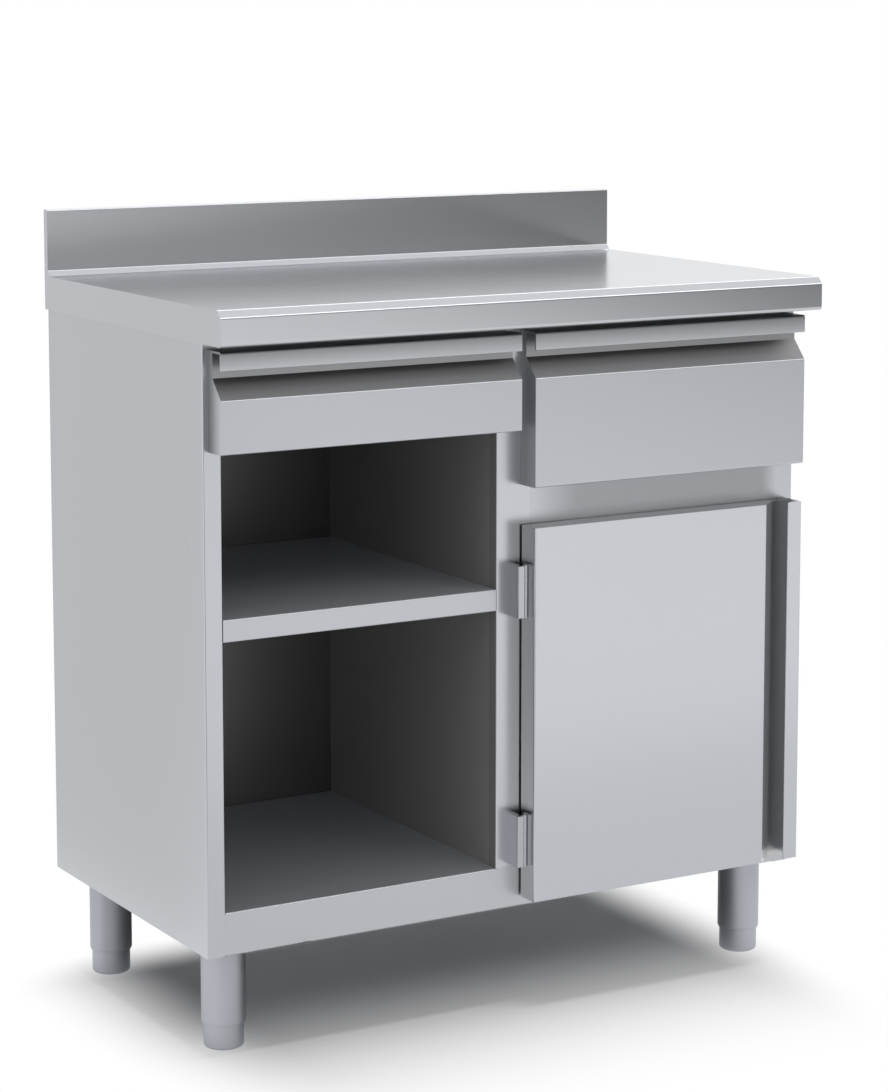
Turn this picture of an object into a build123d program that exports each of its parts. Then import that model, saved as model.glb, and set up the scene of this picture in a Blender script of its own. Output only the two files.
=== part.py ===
from build123d import *
import os

# Coffee station cabinet in folded stainless sheet, in millimetres.
# X runs to the viewer's right, the front faces -Y, Z is up.
# The origin is on the floor, under the centre of the worktop.

# Worktop, one folded and welded sheet with an upstand along its rear edge
WORKTOP_LENGTH = 1000.0
WORKTOP_DEPTH = 600.0
WORKTOP_HEIGHT = 1060.0
WORKTOP_EDGE = 50.0
WORKTOP_BEVEL = 10.0
WORKTOP_RETURN = 15.0
WORKTOP_SHEET = 1.5
WORKTOP_BEND = 5.0
UPSTAND_HEIGHT = 100.0
UPSTAND_THICKNESS = 12.0
UPSTAND_BEND = 2.5
UPSTAND_FOLD = 8.0
STIFFENER_WIDTH = 80.0
STIFFENER_SHEET = 1.5
STIFFENER_INSET = 110.0

# Carcass, folded from thinner sheet
SIDE_OVERHANG = 3.0
FRONT_OVERHANG = 65.0
LEG_HEIGHT = 148.0
TOP_ENGAGEMENT = 10.0
SHEET = 1.0
BEND = 2.0
STILE_WIDTH = 28.0
MID_STILE_WIDTH = 59.0
BASE_RAIL_HEIGHT = 62.0
BASE_REAR_LIP = 30.0
TOP_RAIL_HEIGHT = 35.0
LEFT_RAIL_HEIGHT = 20.0
FRAME_RETURN = 20.0
FRAME_LAP = 16.0
BACK_RECESS = 20.0
BACK_FLANGE = 16.0

# Shelf of the open bay, on two angle brackets
SHELF_ABOVE_FLOOR = 415.0
SHELF_LIP = 32.0
SHELF_CLEARANCE = 0.4
BRACKET_LEG = 22.0
BRACKET_SHEET = 1.5
BRACKET_END_GAP = 12.0

# Drawer fronts and door, hollow pans with a folded grip along one edge
FRONT_PROJECTION = 40.0
FRONT_INSET = 9.0
FRONT_GAP = 23.0
FRONT_BEND = 3.0
DRAWER_TOP_GAP = 9.0
LEFT_DRAWER_HEIGHT = 141.0
RIGHT_DRAWER_HEIGHT = 225.5
DRAWER_STANDOFF = 0.5
DRAWER_DOOR_GAP = 58.5
DOOR_BOTTOM_GAP = 15.0
DOOR_STANDOFF = 3.4
GRIP_DEPTH = 26.0
GRIP_SLOPE = 29.0
GRIP_MOUTH = 41.0
GRIP_LIP = 26.0
GRIP_HEM = 3.0
GRIP_HEM_FLAT = 0.3
GRIP_BEND = 4.0

# Drawer boxes and telescopic slides
BOX_DEPTH = 440.0
BOX_FLOOR_GAP = 6.0
BOX_TOP_GAP = 13.0
BOX_HEM = 8.0
SLIDE_THICKNESS = 12.7
SLIDE_HEIGHT = 45.0
SLIDE_LENGTH = 450.0
SLIDE_SETBACK = 6.0
SLIDE_SHEET = 1.2
SLIDE_BEND = 1.6
SLIDE_CLEARANCE = 0.4
SLIDE_SCREW_SPACE = 3.2
SLIDE_SCREW_END = 60.0
SCREW_RADIUS = 2.0
SCREW_HEAD_RADIUS = 4.0
SCREW_HEAD = 1.8
SCREW_LENGTH = 8.0
SCREW_CLEARANCE = 0.2

# Knock bar of the grounds drawer, a steel bar in a rubber sleeve
KNOCK_BAR_RADIUS = 8.0
KNOCK_SLEEVE_RADIUS = 17.0
KNOCK_SLEEVE_END_GAP = 12.0
KNOCK_BAR_SETBACK = 110.0
KNOCK_BAR_DROP = 34.0
SLEEVE_CLEARANCE = 0.05

# Door hinges, catch and bumpers
HINGE_HEIGHT = 76.0
HINGE_LOWER_RISE = 52.0
HINGE_UPPER_DROP = 56.0
HINGE_PROJECTION = 28.0
HINGE_AXIS_OFFSET = 7.0
HINGE_BLOCK_WIDTH = 9.7
HINGE_BLOCK_ROUND = 2.0
HINGE_KNUCKLE_RADIUS = 3.4
HINGE_PIN_RADIUS = 1.8
HINGE_PIN_HEAD = 1.2
HINGE_PIN_HEAD_RADIUS = 2.8
HINGE_RUNNING_GAP = 0.4
HINGE_BORE_CLEARANCE = 0.05
HINGE_LEAF_SETBACK = 1.0
HINGE_LEAF_DEPTH = 16.0
CATCH_WIDTH = 18.0
CATCH_DEPTH = 40.0
CATCH_HEIGHT = 16.0
CATCH_DROP = 60.0
CATCH_AIR_GAP = 0.8
STRIKE_THICKNESS = 1.5
STRIKE_MARGIN = 3.0
BUMPER_RADIUS = 5.0
BUMPER_INSET = 30.0
BUMPER_GAP = 0.3

# Legs with adjustable feet, bolted to two beams under the floor
LEG_DIAMETER = 63.5
LEG_WALL = 1.5
LEG_CAP = 4.0
LEG_CHAMFER = 0.8
LEG_INSET_SIDE = 50.5
LEG_INSET_FRONT = 55.5
LEG_INSET_REAR = 87.0
BEAM_WIDTH = 70.0
BEAM_SHEET = 2.0
BEAM_BEND = 3.0
BOLT_RADIUS = 5.0
BOLT_HEAD_RADIUS = 9.5
BOLT_HEAD = 6.5
BOLT_LENGTH = 14.0
BOLT_CLEARANCE = 0.25
FOOT_DIAMETER = 57.5
FOOT_HEIGHT = 37.5
FOOT_ROUND = 5.0
FOOT_CHAMFER = 0.5
FOOT_GAP = 0.3
STEM_RADIUS = 8.0
STEM_LENGTH = 60.0
STEM_CLEARANCE = 0.05
INSERT_HEIGHT = 24.0
INSERT_RIM = 1.5
INSERT_CLEARANCE = 0.1

# Planes that the pieces share
half_body = WORKTOP_LENGTH / 2 - SIDE_OVERHANG
worktop_front = -WORKTOP_DEPTH / 2
worktop_rear = WORKTOP_DEPTH / 2
worktop_under = WORKTOP_HEIGHT - WORKTOP_SHEET
edge_bottom = WORKTOP_HEIGHT - WORKTOP_EDGE
body_front = worktop_front + FRONT_OVERHANG
body_rear = worktop_rear - SIDE_OVERHANG
body_bottom = LEG_HEIGHT
body_top = edge_bottom + TOP_ENGAGEMENT
bay_side = half_body - STILE_WIDTH
half_mid = MID_STILE_WIDTH / 2
frame_back = body_front + FRAME_RETURN
back_face = body_rear - BACK_RECESS
floor_top = body_bottom + BASE_RAIL_HEIGHT
floor_under = floor_top - SHEET
shelf_top = floor_top + SHELF_ABOVE_FLOOR
shelf_under = shelf_top - SHEET
shelf_rear = back_face - SHELF_CLEARANCE
front_face = body_front - FRONT_PROJECTION
front_outer = half_body - FRONT_INSET
front_inner = FRONT_GAP / 2
front_width = front_outer - front_inner
drawer_top = edge_bottom - DRAWER_TOP_GAP
drawer_back = body_front - DRAWER_STANDOFF
left_drawer_bottom = drawer_top - LEFT_DRAWER_HEIGHT
right_drawer_bottom = drawer_top - RIGHT_DRAWER_HEIGHT
door_back = body_front - DOOR_STANDOFF
door_bottom = body_bottom + DOOR_BOTTOM_GAP
door_top = right_drawer_bottom - DRAWER_DOOR_GAP
door_height = door_top - door_bottom
top_rail_bottom = body_top - TOP_RAIL_HEIGHT
left_rail_top = left_drawer_bottom + FRAME_LAP
right_rail_top = right_drawer_bottom + FRAME_LAP
right_rail_bottom = door_top - FRAME_LAP
box_top = top_rail_bottom - BOX_TOP_GAP
left_box_bottom = left_rail_top + BOX_FLOOR_GAP
right_box_bottom = right_rail_top + BOX_FLOOR_GAP
left_box_x = (SLIDE_THICKNESS - bay_side, -half_mid - SLIDE_THICKNESS)
right_box_x = (half_mid + SLIDE_THICKNESS, bay_side - SLIDE_THICKNESS)
slide_front = body_front + SLIDE_SETBACK
slide_rear = slide_front + SLIDE_LENGTH
leg_x = half_body - LEG_INSET_SIDE
leg_front = body_front + LEG_INSET_FRONT
leg_rear = body_rear - LEG_INSET_REAR
leg_radius = LEG_DIAMETER / 2
hinge_x = front_inner - HINGE_AXIS_OFFSET
hinge_y = body_front - HINGE_PROJECTION + HINGE_KNUCKLE_RADIUS


def block(x_span, y_span, z_span):
    """Box between the low and high ends of three spans."""
    middle = [(low + high) / 2 for low, high in (x_span, y_span, z_span)]
    size = [high - low for low, high in (x_span, y_span, z_span)]
    return Pos(*middle) * Box(*size)


def rod(axis, radius, start, length):
    """Round bar from a start point along a direction."""
    return Plane(origin=start, z_dir=axis) * Cylinder(
        radius, length, align=(Align.CENTER, Align.CENTER, Align.MIN)
    )


def bent_sheet(points, thickness, bend):
    """Section of a folded sheet: outside points in order, with the sheet on their left."""
    outside = FilletPolyline(*points, radius=bend)
    return make_face(offset(outside, amount=thickness, side=Side.LEFT, closed=True))


def along_x(section, x_span):
    """Section drawn in Y and Z, run along X."""
    return Pos(x_span[0], 0, 0) * extrude(Plane.YZ * section, x_span[1] - x_span[0])


def along_y(section, y_span):
    """Section drawn in X and Z, run along Y."""
    return Pos(0, y_span[1], 0) * extrude(Plane.XZ * section, y_span[1] - y_span[0])


def along_z(section, z_span):
    """Section drawn in X and Y, run along Z."""
    return Pos(0, 0, z_span[0]) * extrude(section, z_span[1] - z_span[0])


def worktop():
    """Hollow folded top: bevelled front edge, upstand on a sloping fold, open underneath."""
    upstand_top = WORKTOP_HEIGHT + UPSTAND_HEIGHT
    upstand_face = worktop_rear - UPSTAND_THICKNESS
    outline = make_face(
        Polyline(
            (worktop_front, edge_bottom),
            (worktop_rear, edge_bottom),
            (worktop_rear, upstand_top),
            (upstand_face, upstand_top),
            (upstand_face, WORKTOP_HEIGHT + UPSTAND_FOLD),
            (upstand_face - UPSTAND_FOLD, WORKTOP_HEIGHT),
            (worktop_front + WORKTOP_BEVEL, WORKTOP_HEIGHT),
            (worktop_front, WORKTOP_HEIGHT - WORKTOP_BEVEL),
            close=True,
        )
    )
    front_folds = outline.vertices().filter_by(lambda corner: corner.X < 0)
    outline = fillet(front_folds, WORKTOP_BEND)
    rear_folds = outline.vertices().filter_by(
        lambda corner: corner.X > 0 and corner.Y > WORKTOP_HEIGHT - WORKTOP_SHEET
    )
    outline = fillet(rear_folds, UPSTAND_BEND)
    hollow = offset(outline, amount=-WORKTOP_SHEET)
    ends = WORKTOP_LENGTH / 2
    inside = (WORKTOP_SHEET - ends, ends - WORKTOP_SHEET)
    mouth = (worktop_front + WORKTOP_RETURN, worktop_rear - WORKTOP_SHEET)
    mouth_height = (edge_bottom - WORKTOP_SHEET, edge_bottom + WORKTOP_SHEET + WORKTOP_BEND)
    return (
        along_x(outline, (-ends, ends))
        - along_x(hollow, inside)
        - block(inside, mouth, mouth_height)
    )


def worktop_stiffener(middle_y):
    """Channel under the worktop, standing on the tops of the side panels."""
    half = STIFFENER_WIDTH / 2
    section = bent_sheet(
        [
            (middle_y + half, body_top),
            (middle_y + half, worktop_under),
            (middle_y - half, worktop_under),
            (middle_y - half, body_top),
        ],
        STIFFENER_SHEET,
        BEND,
    )
    return along_x(section, (SHEET - half_body, half_body - SHEET))


def left_side_panel():
    """Outer skin folded round into the front stile and the rear flange."""
    plan = bent_sheet(
        [
            (-bay_side, body_rear),
            (-half_body, body_rear),
            (-half_body, body_front),
            (-bay_side, body_front),
            (-bay_side, frame_back),
        ],
        SHEET,
        BEND,
    )
    skin = along_z(plan, (body_bottom, body_top))
    inside_x = (SHEET - half_body, -bay_side - SHEET)
    inside_y = (body_front + SHEET, body_rear - SHEET)
    foot_flange = block(inside_x, inside_y, (body_bottom, body_bottom + SHEET))
    head_flange = block(inside_x, inside_y, (body_top - SHEET, body_top))
    return skin + foot_flange + head_flange


def screw_places(middle_z):
    """Y and Z of the screws that hold one slide."""
    return [
        (slide_front + SLIDE_SCREW_END, middle_z),
        (slide_rear - SLIDE_SCREW_END, middle_z),
    ]


def screw_holes(x, places):
    """Clearance holes for slide screws through the sheet and rail at one wall."""
    reach = SLIDE_THICKNESS
    return [
        rod((1, 0, 0), SCREW_RADIUS + SCREW_CLEARANCE, (x - reach, y, z), 2 * reach)
        for y, z in places
    ]


def wall_skin(x_span, y_span, bottom, slide_z):
    """Flat inner wall that carries one drawer slide."""
    wall = block(x_span, y_span, (bottom, body_top - SHEET))
    return wall - screw_holes(x_span[0], screw_places(slide_z))


def mid_stile():
    """Channel between the open bay and the door compartment."""
    plan = bent_sheet(
        [
            (-half_mid, frame_back),
            (-half_mid, body_front),
            (half_mid, body_front),
            (half_mid, frame_back),
        ],
        SHEET,
        BEND,
    )
    return along_z(plan, (floor_top, top_rail_bottom))


def front_rail(x_span, z_span):
    """Cross rail of the front frame."""
    bottom, top = z_span
    section = bent_sheet(
        [
            (frame_back, top),
            (body_front, top),
            (body_front, bottom),
            (frame_back, bottom),
        ],
        SHEET,
        BEND,
    )
    return along_x(section, x_span)


def base_panel():
    """Cabinet floor, folded down into the front base rail and a rear lip."""
    section = bent_sheet(
        [
            (back_face, floor_top - BASE_REAR_LIP),
            (back_face, floor_top),
            (body_front, floor_top),
            (body_front, body_bottom),
            (frame_back, body_bottom),
        ],
        SHEET,
        BEND,
    )
    return along_x(section, (-bay_side, bay_side))


def back_panel():
    """Recessed back sheet with flanges turned to the rear."""
    flange_end = back_face + BACK_FLANGE
    section = bent_sheet(
        [
            (flange_end, body_top - SHEET),
            (back_face, body_top - SHEET),
            (back_face, body_bottom + SHEET),
            (flange_end, body_bottom + SHEET),
        ],
        SHEET,
        BEND,
    )
    return along_x(section, (-bay_side, bay_side))


def shelf():
    """Shelf with a deep front lip flush with the front frame."""
    lip_bottom = shelf_top - SHELF_LIP
    section = bent_sheet(
        [
            (shelf_rear, lip_bottom),
            (shelf_rear, shelf_top),
            (body_front, shelf_top),
            (body_front, lip_bottom),
            (frame_back, lip_bottom),
        ],
        SHEET,
        BEND,
    )
    return along_x(section, (SHELF_CLEARANCE - bay_side, -half_mid - SHELF_CLEARANCE))


def shelf_bracket(wall_x, facing):
    """Angle under one end of the shelf, on the wall at wall_x."""
    section = bent_sheet(
        [(BRACKET_LEG, 0), (0, 0), (0, -BRACKET_LEG)],
        BRACKET_SHEET,
        BEND,
    )
    angle = along_y(section, (frame_back + BRACKET_END_GAP, shelf_rear - BRACKET_END_GAP))
    if facing < 0:
        angle = mirror(angle, about=Plane.YZ)
    return Pos(wall_x, 0, shelf_under) * angle


def grip_section(height, depth):
    """Outline of a hollow front, and of the hooked lip along its grip edge."""
    bend = height - GRIP_MOUTH - GRIP_LIP
    wall = depth - GRIP_DEPTH
    body = make_face(
        Polyline(
            (0, SHEET),
            (height, SHEET),
            (height, wall),
            (bend + GRIP_SLOPE, wall),
            (bend, depth),
            (0, depth),
            close=True,
        )
    )
    folds = body.vertices().filter_by(lambda corner: corner.Y > wall + SHEET)
    body = fillet(folds, FRONT_BEND)
    hook = make_face(
        Polyline(
            (height - GRIP_HEM, wall),
            (height, wall),
            (height, depth),
            (height - GRIP_LIP, depth),
            (height - GRIP_LIP, depth - GRIP_HEM),
            (height - GRIP_HEM, depth - GRIP_HEM),
            close=True,
        )
    )
    top_bend = hook.vertices().sort_by_distance((height, depth, 0))[0]
    hook = fillet(top_bend, GRIP_BEND)
    hem = hook.vertices().filter_by(lambda corner: corner.X < height - GRIP_LIP / 2)
    hook = fillet(hem, (GRIP_HEM - GRIP_HEM_FLAT) / 2)
    return body, hook


def grip_front(height, length, depth):
    """Hollow front, open at the back: grip direction is local X, outwards is local Y."""
    body, hook = grip_section(height, depth)
    hollow = offset(body, amount=-SHEET)
    inner_depth = depth - GRIP_DEPTH - SHEET
    inner_length = (SHEET, length - SHEET)
    open_back = block((SHEET, height - SHEET), (0, inner_depth), inner_length)
    pan = along_z(body, (0, length)) - along_z(hollow, inner_length) - open_back
    return pan + along_z(hook, (0, length))


def grip_backing(height, length):
    """Flat inner plate that closes the back of a front."""
    return block((0, height), (0, SHEET), (0, length))


def drawer_plane(left_x, bottom, back):
    """Frame of a drawer front: its grip edge is on top and its length runs along X."""
    return Plane(origin=(left_x, back, bottom), x_dir=(0, 0, 1), z_dir=(1, 0, 0))


def door_plane():
    """Frame of the door: its grip edge is on the right and its length runs down."""
    return Plane(origin=(front_inner, door_back, door_top), x_dir=(1, 0, 0), z_dir=(0, 0, -1))


def drawer_box(x_span, bottom):
    """Open tray with a doubled rim."""
    x_low, x_high = x_span
    y_low, y_high = drawer_back, drawer_back + BOX_DEPTH
    outside = block(x_span, (y_low, y_high), (bottom, box_top))
    inside = block(
        (x_low + SHEET, x_high - SHEET),
        (y_low + SHEET, y_high - SHEET),
        (bottom + SHEET, box_top - BOX_HEM),
    )
    rim = 2 * SHEET
    rim_opening = block(
        (x_low + rim, x_high - rim),
        (y_low + rim, y_high - rim),
        (bottom + SHEET, box_top),
    )
    return outside - inside - rim_opening


def slide_sections():
    """Outer, middle and inner rail of one telescopic slide, drawn with the wall at X = 0."""
    half_outer = SLIDE_HEIGHT / 2
    half_middle = half_outer - SLIDE_SHEET - SLIDE_CLEARANCE
    half_inner = half_middle - SLIDE_SHEET - SLIDE_CLEARANCE
    middle_web = SLIDE_SHEET + SLIDE_SCREW_SPACE
    inner_lip = middle_web + SLIDE_SHEET + SLIDE_CLEARANCE
    drawer_web = SLIDE_THICKNESS - SLIDE_SHEET
    outer_lip = drawer_web - SLIDE_CLEARANCE

    def channel(web, lip, half):
        return [(lip, half), (web, half), (web, -half), (lip, -half)]

    outer = bent_sheet(channel(0, outer_lip, half_outer), SLIDE_SHEET, SLIDE_BEND)
    middle = bent_sheet(channel(middle_web, outer_lip, half_middle), SLIDE_SHEET, SLIDE_BEND)
    inner_points = channel(SLIDE_THICKNESS, inner_lip, half_inner)[::-1]
    inner = bent_sheet(inner_points, SLIDE_SHEET, SLIDE_BEND)
    return outer, middle, inner


def slide_rail(section, wall_x, facing, middle_z):
    """One rail, on the wall at wall_x, facing the drawer."""
    rail = along_y(section, (slide_front, slide_rear))
    if facing < 0:
        rail = mirror(rail, about=Plane.YZ)
    return Pos(wall_x, 0, middle_z) * rail


def slide_screw(wall_x, facing, place):
    """Pan-head screw through the outer rail into the wall."""
    y, z = place
    seat = wall_x + facing * SLIDE_SHEET
    head = rod((facing, 0, 0), SCREW_HEAD_RADIUS, (seat, y, z), SCREW_HEAD)
    shank = rod((-facing, 0, 0), SCREW_RADIUS, (seat, y, z), SCREW_LENGTH)
    return head + shank


def knock_bar(x_span):
    """Bar across the grounds drawer, and the rubber sleeve round it."""
    x_low, x_high = x_span[0] + SHEET, x_span[1] - SHEET
    y = drawer_back + KNOCK_BAR_SETBACK
    z = box_top - KNOCK_BAR_DROP
    bar = rod((1, 0, 0), KNOCK_BAR_RADIUS, (x_low, y, z), x_high - x_low)
    start = (x_low + KNOCK_SLEEVE_END_GAP, y, z)
    length = x_high - x_low - 2 * KNOCK_SLEEVE_END_GAP
    sleeve = rod((1, 0, 0), KNOCK_SLEEVE_RADIUS, start, length)
    sleeve -= rod((1, 0, 0), KNOCK_BAR_RADIUS + SLEEVE_CLEARANCE, start, length)
    return bar, sleeve


def knuckle(x_side, z_span):
    """Barrel section of a hinge, with a web out to x_side and a bore for the pin."""
    barrel_start = (hinge_x, hinge_y, z_span[0])
    height = z_span[1] - z_span[0]
    barrel = rod((0, 0, 1), HINGE_KNUCKLE_RADIUS, barrel_start, height)
    web = block(
        sorted((hinge_x, x_side)),
        (hinge_y, hinge_y + HINGE_KNUCKLE_RADIUS),
        z_span,
    )
    bore = rod((0, 0, 1), HINGE_PIN_RADIUS + HINGE_BORE_CLEARANCE, barrel_start, height)
    return barrel + web, bore


def hinge(bottom):
    """Fixed leaf on the mid stile, moving leaf on the door's edge, and the pin."""
    top = bottom + HINGE_HEIGHT
    third = HINGE_HEIGHT / 3
    lower_span = (bottom, bottom + third - HINGE_RUNNING_GAP)
    middle_span = (bottom + third, top - third)
    upper_span = (top - third + HINGE_RUNNING_GAP, top)
    block_right = hinge_x - HINGE_KNUCKLE_RADIUS - HINGE_RUNNING_GAP
    block_left = block_right - HINGE_BLOCK_WIDTH
    block_front = body_front - HINGE_PROJECTION
    leaf = block((block_left, block_right), (block_front, body_front), (bottom, top))
    front_edges = leaf.edges().filter_by(Axis.Z).sort_by_distance(
        (block_left, block_front, (bottom + top) / 2)
    )
    leaf = fillet(front_edges[0], HINGE_BLOCK_ROUND)
    fixed_bores = []
    for span in (lower_span, upper_span):
        barrel, bore = knuckle(block_right, span)
        leaf += barrel
        fixed_bores.append(bore)
    fixed_leaf = leaf - fixed_bores
    plate_left = hinge_x + HINGE_KNUCKLE_RADIUS + HINGE_RUNNING_GAP
    plate_front = block_front + HINGE_LEAF_SETBACK
    plate = block(
        (plate_left, front_inner),
        (plate_front, plate_front + HINGE_LEAF_DEPTH),
        (bottom, top),
    )
    barrel, bore = knuckle(plate_left, middle_span)
    moving_leaf = plate + barrel - bore
    pin = rod((0, 0, 1), HINGE_PIN_RADIUS, (hinge_x, hinge_y, bottom), HINGE_HEIGHT)
    pin += rod((0, 0, 1), HINGE_PIN_HEAD_RADIUS, (hinge_x, hinge_y, top), HINGE_PIN_HEAD)
    return fixed_leaf, moving_leaf, pin


def door_catch():
    """Magnetic catch on the right inner wall, and the strike plate on the door."""
    middle_z = right_rail_bottom - CATCH_DROP
    strike_face = door_back + STRIKE_THICKNESS
    catch_front = strike_face + CATCH_AIR_GAP
    z_span = (middle_z - CATCH_HEIGHT / 2, middle_z + CATCH_HEIGHT / 2)
    catch = block(
        (bay_side - CATCH_WIDTH, bay_side),
        (catch_front, catch_front + CATCH_DEPTH),
        z_span,
    )
    strike = block(
        (bay_side - CATCH_WIDTH - STRIKE_MARGIN, bay_side + STRIKE_MARGIN),
        (door_back, strike_face),
        (z_span[0] - STRIKE_MARGIN, z_span[1] + STRIKE_MARGIN),
    )
    return catch, strike


def door_bumpers():
    """Two rubber discs between the door and the right stile."""
    x = (bay_side + half_body) / 2
    thickness = DOOR_STANDOFF - BUMPER_GAP
    lower = rod((0, 1, 0), BUMPER_RADIUS, (x, door_back, door_bottom + BUMPER_INSET), thickness)
    upper = rod((0, 1, 0), BUMPER_RADIUS, (x, door_back, door_top - BUMPER_INSET), thickness)
    return lower + upper


def leg_beam(middle_y):
    """Channel under the floor that two legs are bolted to."""
    half = BEAM_WIDTH / 2
    section = bent_sheet(
        [
            (middle_y - half, floor_under),
            (middle_y - half, body_bottom),
            (middle_y + half, body_bottom),
            (middle_y + half, floor_under),
        ],
        BEAM_SHEET,
        BEAM_BEND,
    )
    holes = [bolt_hole(x, middle_y) for x in (-leg_x, leg_x)]
    return along_x(section, (-bay_side, bay_side)) - holes


def bolt_hole(x, y):
    """Clearance hole for one leg bolt."""
    bottom = body_bottom - BOLT_LENGTH
    return rod((0, 0, 1), BOLT_RADIUS + BOLT_CLEARANCE, (x, y, bottom), 2 * BOLT_LENGTH)


def leg_bolt(x, y):
    """Hexagon bolt from inside a beam down into the cap of a leg."""
    seat = body_bottom + BEAM_SHEET
    head = Pos(x, y, seat) * extrude(RegularPolygon(BOLT_HEAD_RADIUS, 6), BOLT_HEAD)
    return head + rod((0, 0, -1), BOLT_RADIUS, (x, y, seat), BOLT_LENGTH)


def leg(x, y):
    """Round tube closed by a welded cap at the top."""
    height = LEG_HEIGHT - FOOT_HEIGHT
    tube = rod((0, 0, 1), leg_radius, (x, y, FOOT_HEIGHT), height)
    lower_rim = tube.edges().filter_by(GeomType.CIRCLE).sort_by(Axis.Z)[0]
    tube = chamfer(lower_rim, LEG_CHAMFER)
    bore = rod((0, 0, 1), leg_radius - LEG_WALL, (x, y, FOOT_HEIGHT), height - LEG_CAP)
    return tube - bore - bolt_hole(x, y)


def leg_insert(x, y):
    """Plug in the lower end of a leg, threaded for the foot."""
    rim_bottom = FOOT_HEIGHT - INSERT_RIM
    plug_radius = leg_radius - LEG_WALL - INSERT_CLEARANCE
    rim_radius = leg_radius - LEG_CHAMFER
    plug = rod((0, 0, 1), plug_radius, (x, y, FOOT_HEIGHT), INSERT_HEIGHT)
    plug += rod((0, 0, 1), rim_radius, (x, y, rim_bottom), INSERT_RIM)
    bore_height = INSERT_RIM + INSERT_HEIGHT
    return plug - rod((0, 0, 1), STEM_RADIUS + STEM_CLEARANCE, (x, y, rim_bottom), bore_height)


def foot(x, y):
    """Adjustable foot: a rounded steel cup on a threaded stem."""
    top = FOOT_HEIGHT - INSERT_RIM - FOOT_GAP
    cup = rod((0, 0, 1), FOOT_DIAMETER / 2, (x, y, 0), top)
    rims = cup.edges().filter_by(GeomType.CIRCLE).sort_by(Axis.Z)
    cup = fillet(rims[0], FOOT_ROUND)
    rims = cup.edges().filter_by(GeomType.CIRCLE).sort_by(Axis.Z)
    cup = chamfer(rims[-1], FOOT_CHAMFER)
    return cup + rod((0, 0, 1), STEM_RADIUS, (x, y, top), STEM_LENGTH)


pieces = {}

# Worktop and its stiffeners
pieces["worktop"] = worktop()
pieces["worktop_stiffener_front"] = worktop_stiffener(body_front + STIFFENER_INSET)
pieces["worktop_stiffener_rear"] = worktop_stiffener(body_rear - STIFFENER_INSET)

# Carcass
left_slide_z = (left_box_bottom + box_top) / 2
right_slide_z = (right_box_bottom + box_top) / 2
liner_y = (frame_back, body_rear - SHEET)
liner_bottom = body_bottom + SHEET
left_liner_x = (-bay_side - SHEET, -bay_side)
right_liner_x = (bay_side, bay_side + SHEET)
partition_y = (frame_back, back_face)
partition_left_x = (-half_mid, SHEET - half_mid)
partition_right_x = (half_mid - SHEET, half_mid)
pieces["left_side_panel"] = left_side_panel()
pieces["right_side_panel"] = mirror(left_side_panel(), about=Plane.YZ)
pieces["left_liner"] = wall_skin(left_liner_x, liner_y, liner_bottom, left_slide_z)
pieces["right_liner"] = wall_skin(right_liner_x, liner_y, liner_bottom, right_slide_z)
pieces["partition_left_skin"] = wall_skin(partition_left_x, partition_y, floor_top, left_slide_z)
pieces["partition_right_skin"] = wall_skin(partition_right_x, partition_y, floor_top, right_slide_z)
pieces["mid_stile"] = mid_stile()
pieces["base_panel"] = base_panel()
pieces["back_panel"] = back_panel()
pieces["top_front_rail"] = front_rail((-bay_side, bay_side), (top_rail_bottom, body_top))
pieces["left_drawer_rail"] = front_rail(
    (-bay_side, -half_mid), (left_rail_top - LEFT_RAIL_HEIGHT, left_rail_top)
)
pieces["right_drawer_rail"] = front_rail((half_mid, bay_side), (right_rail_bottom, right_rail_top))
pieces["shelf"] = shelf()
pieces["shelf_bracket_left"] = shelf_bracket(-bay_side, 1)
pieces["shelf_bracket_right"] = shelf_bracket(-half_mid, -1)

# Legs, feet and the beams that carry them
leg_places = {
    "front_left": (-leg_x, leg_front),
    "front_right": (leg_x, leg_front),
    "rear_left": (-leg_x, leg_rear),
    "rear_right": (leg_x, leg_rear),
}
pieces["front_leg_beam"] = leg_beam(leg_front)
pieces["rear_leg_beam"] = leg_beam(leg_rear)
for place, (x, y) in leg_places.items():
    pieces[f"{place}_leg"] = leg(x, y)
    pieces[f"{place}_foot"] = foot(x, y)
pieces["leg_inserts"] = Compound([leg_insert(x, y) for x, y in leg_places.values()])
pieces["leg_bolts"] = Compound([leg_bolt(x, y) for x, y in leg_places.values()])

# Drawers on telescopic slides
outer_section, middle_section, inner_section = slide_sections()
slide_screws = []
drawers = {
    "left_drawer": (-front_outer, left_drawer_bottom, left_box_x, left_box_bottom),
    "right_drawer": (front_inner, right_drawer_bottom, right_box_x, right_box_bottom),
}
for drawer, (front_left, front_bottom, box_x, box_bottom) in drawers.items():
    plane = drawer_plane(front_left, front_bottom, drawer_back)
    height = drawer_top - front_bottom
    depth = drawer_back - front_face
    slide_z = (box_bottom + box_top) / 2
    pieces[f"{drawer}_front"] = plane * grip_front(height, front_width, depth)
    pieces[f"{drawer}_front_liner"] = plane * grip_backing(height, front_width)
    pieces[f"{drawer}_box"] = drawer_box(box_x, box_bottom)
    middle_rails = []
    left_wall = box_x[0] - SLIDE_THICKNESS
    right_wall = box_x[1] + SLIDE_THICKNESS
    for side, wall, facing in (("left", left_wall, 1), ("right", right_wall, -1)):
        places = screw_places(slide_z)
        outer_rail = slide_rail(outer_section, wall, facing, slide_z)
        pieces[f"{drawer}_outer_rail_{side}"] = outer_rail - screw_holes(wall, places)
        pieces[f"{drawer}_inner_rail_{side}"] = slide_rail(inner_section, wall, facing, slide_z)
        middle_rails.append(slide_rail(middle_section, wall, facing, slide_z))
        slide_screws += [slide_screw(wall, facing, place) for place in places]
    pieces[f"{drawer}_middle_rails"] = Compound(middle_rails)
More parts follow.
